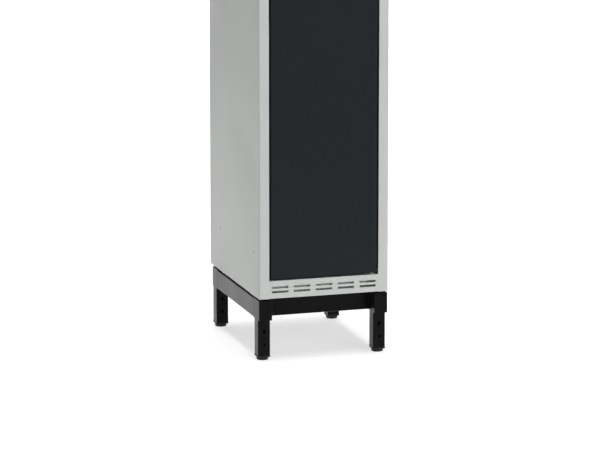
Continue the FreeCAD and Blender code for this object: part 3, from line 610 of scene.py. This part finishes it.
# The stand: folded channel rails between four corner sleeves of square tube, tacked with short
# weld beads in the corners, in black powder paint.
stand_paint = powder_coat("stand_paint", (0.0040, 0.0040, 0.0041), 0.29, 1.33, 0.022 * mm)
satin_edge(stand_paint, 0.16, 0.5)
coat(["stand_left_rail", "stand_right_rail", "stand_front_rail", "stand_rear_rail", "front_left_sleeve",
      "front_right_sleeve", "rear_left_sleeve", "rear_right_sleeve"], stand_paint)
bead_radius = 1.7
bead_inset = 1.0
bead_stop = 4.0             # end of a bead to the end of its sleeve
ripple_pitch = 1.8
ripple_steps = 4
ripple_height = 0.10
beads = bmesh.new()
for end, outwards in (("front", -1), ("rear", 1)):
    for side, inwards in (("left", 1), ("right", -1)):
        low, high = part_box(end + "_" + side + "_sleeve")
        corner_x = high.x if side == "left" else low.x
        corner_y = high.y if end == "front" else low.y
        length = (high.z - low.z) / mm - 2 * bead_stop
        steps = round(length / ripple_pitch * ripple_steps)
        rings = [(0, 0)]
        for i in range(steps + 1):
            swell = 1 + ripple_height * math.sin(math.tau * i / ripple_steps)
            taper = min(1.0, 0.35 + i / 8, 0.35 + (steps - i) / 8)
            rings.append((bead_radius * swell * taper, 0.3 + (length - 0.6) * i / steps))
        rings.append((0, length))
        place = (corner_x + inwards * bead_inset * mm, corner_y + outwards * bead_inset * mm,
                 low.z + bead_stop * mm)
        add_part(beads, ring_stack(rings, 12), place)
piece("stand_weld_beads", beads, stand_paint, "cabinet", "stand_paint")

# The legs: square tube with a row of holes, free to slide in the sleeves, so their black paint has
# faint upright rub marks. A moulded plug closes each one's end and takes the foot's thread.
leg_paint, leg_shader = finish("leg_paint", 0.30, ior=1.33)
satin_edge(leg_paint, 0.18, 0.5)
leg_links = leg_paint.node_tree.links
rub = cloud(leg_paint, 240.0, 3.0, (1, 1, 0.02))
leg_links.new(toned(leg_paint, rub, (0.0040, 0.0040, 0.0041), (0.0090, 0.0090, 0.0092), 0.55, 0.8),
              leg_shader.inputs["Base Color"])
leg_links.new(ranged(leg_paint, rub, 0.27, 0.36), leg_shader.inputs["Roughness"])
relief(leg_paint, leg_shader, (cloud(leg_paint, 620.0, 2.0), 0.022 * mm), (rub, 0.006 * mm))


def rounded_square(half, corner):
    """Distance from the middle of a square to its edge, rounded at the corners, by angle."""
    def reach(angle):
        near, far = sorted((abs(math.cos(angle)), abs(math.sin(angle))))
        if half * near / far <= half - corner:
            return half / far
        along = (half - corner) * (near + far)
        return along + math.sqrt(max(corner ** 2 - 2 * (half - corner) ** 2 + along ** 2, 0.0))
    return reach


black_plastic = moulded("black_plastic", (0.0085, 0.0085, 0.0088), 0.46, 1100.0, 0.02 * mm, 1.36)
plug_rings = [(5.05, 0), (rounded_square(14.1, 1.8), 0), (rounded_square(14.5, 2.0), 0.15),
              (rounded_square(14.7, 2.0), 0.6), (rounded_square(14.7, 2.0), 2.4),
              (rounded_square(14.5, 2.0), 2.85), (rounded_square(14.1, 1.8), 3.0),
              (rounded_square(12.5, 1.0), 3.0), (rounded_square(12.5, 1.0), 18.0),
              (rounded_square(11.7, 1.0), 19.0), (5.05, 19.0), (5.05, 0)]
corners = [end + "_" + side for end in ("front", "rear") for side in ("left", "right")]
for corner in corners:
    coat([corner + "_leg"], leg_paint)
    low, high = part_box(corner + "_leg_plug")
    plug = bmesh.new()
    add_part(plug, ring_stack(plug_rings, 112), ((low.x + high.x) / 2, (low.y + high.y) / 2, low.z))
    piece(corner + "_moulded_plug", plug, black_plastic, corner + "_leg", "black_plastic",
          corner + "_leg_plug")

# The levelling feet: a fluted moulded pad, hollowed a little underneath, on a threaded steel stem
# that screws up into the plug.
flute_depth = 0.22
flutes = 30


def fluted(radius):
    """Distance from the middle of a fluted pad to its side, by angle."""
    return lambda angle: radius - flute_depth * (0.5 - 0.5 * math.cos(flutes * angle))


pad_rings = [(0, 0.6), (7.6, 0.6), (8.2, 0.1), (8.6, 0), (11.5, 0), (12.1, 0.15), (12.6, 0.5), (12.9, 1.1),
             (fluted(13.05), 1.6), (fluted(13.75), 5.4), (14.0, 5.9), (14.0, 6.5), (13.8, 6.85),
             (13.4, 7.0), (0, 7.0)]
stem_rings = [(0, 5.0), (5.0, 5.0), (5.0, 7.6)] + thread(5.0, 1.5, 0.55, 7.6, 39.0) + [(4.2, 40.0), (0, 40.0)]
for corner in corners:
    low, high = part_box(corner + "_foot")
    place = ((low.x + high.x) / 2, (low.y + high.y) / 2, low.z)
    pad = bmesh.new()
    add_part(pad, ring_stack(pad_rings, 120), place)
    piece(corner + "_foot_pad", pad, black_plastic, corner + "_foot", "black_plastic", corner + "_foot")
    stem = bmesh.new()
    add_part(stem, ring_stack(stem_rings, 28), place)
    piece(corner + "_foot_stem", stem, zinc_plate, corner + "_foot", "zinc")

# The fasteners: M8 hexagon screws with nuts, which lock the legs and hold the cabinet on the stand
# through four turned spacers, all zinc plated.
bolt_radius = 4.0
bolt_width = 13.0
head_height = 5.3
point = 0.8


def hexagon_screw(length):
    """A hexagon head on z = 0, pointing up, with its threaded shank below."""
    rings = [(0, -length), (bolt_radius - point, -length), (bolt_radius, point - length)]
    rings += thread(bolt_radius, 1.25, 0.45, point - length, -0.4)
    rings += [(bolt_radius, 0)] + hexagon_sides(bolt_width, 0, head_height) + [(0, head_height)]
    return ring_stack(rings, 48)


lock_screws = bmesh.new()
for low, high in solids("leg_lock_screws"):
    seat = ((low.x + high.x) / 2, high.y - head_height * mm, (low.z + high.z) / 2)
    add_part(lock_screws, hexagon_screw((high.y - low.y) / mm - head_height), seat, (0, 1, 0))
piece("leg_lock_hexagon_screws", lock_screws, zinc_plate, "cabinet", "zinc", "leg_lock_screws")
bolts = bmesh.new()
for low, high in solids("stand_bolts"):
    seat = ((low.x + high.x) / 2, (low.y + high.y) / 2, low.z + head_height * mm)
    add_part(bolts, hexagon_screw((high.z - low.z) / mm - head_height), seat, (0, 0, -1))
piece("stand_hexagon_bolts", bolts, zinc_plate, "cabinet", "zinc", "stand_bolts")

for node, axis in (("leg_lock_nuts", (0, 1, 0)), ("stand_nuts", (0, 0, 1))):
    nuts = bmesh.new()
    for low, high in solids(node):
        middle = (low + high) / 2
        thick = (high - low).dot(Vector(axis))
        seat = middle - Vector(axis) * thick / 2
        add_part(nuts, hexagon_nut(bolt_width, thick / mm, bolt_radius), seat, axis)
    piece(node.replace("nuts", "hexagon_nuts"), nuts, zinc_plate, "cabinet", "zinc", node)

spacers = bmesh.new()
for low, high in solids("stand_spacers"):
    thick = (high.z - low.z) / mm
    ease = 0.4
    rings = [(4.4, 0), (9.0 - ease, 0), (9.0, ease), (9.0, thick - ease), (9.0 - ease, thick), (4.4, thick),
             (4.4, 0)]
    add_part(spacers, ring_stack(rings, 40), ((low.x + high.x) / 2, (low.y + high.y) / 2, low.z))
piece("turned_spacers", spacers, zinc_plate, "cabinet", "zinc", "stand_spacers")
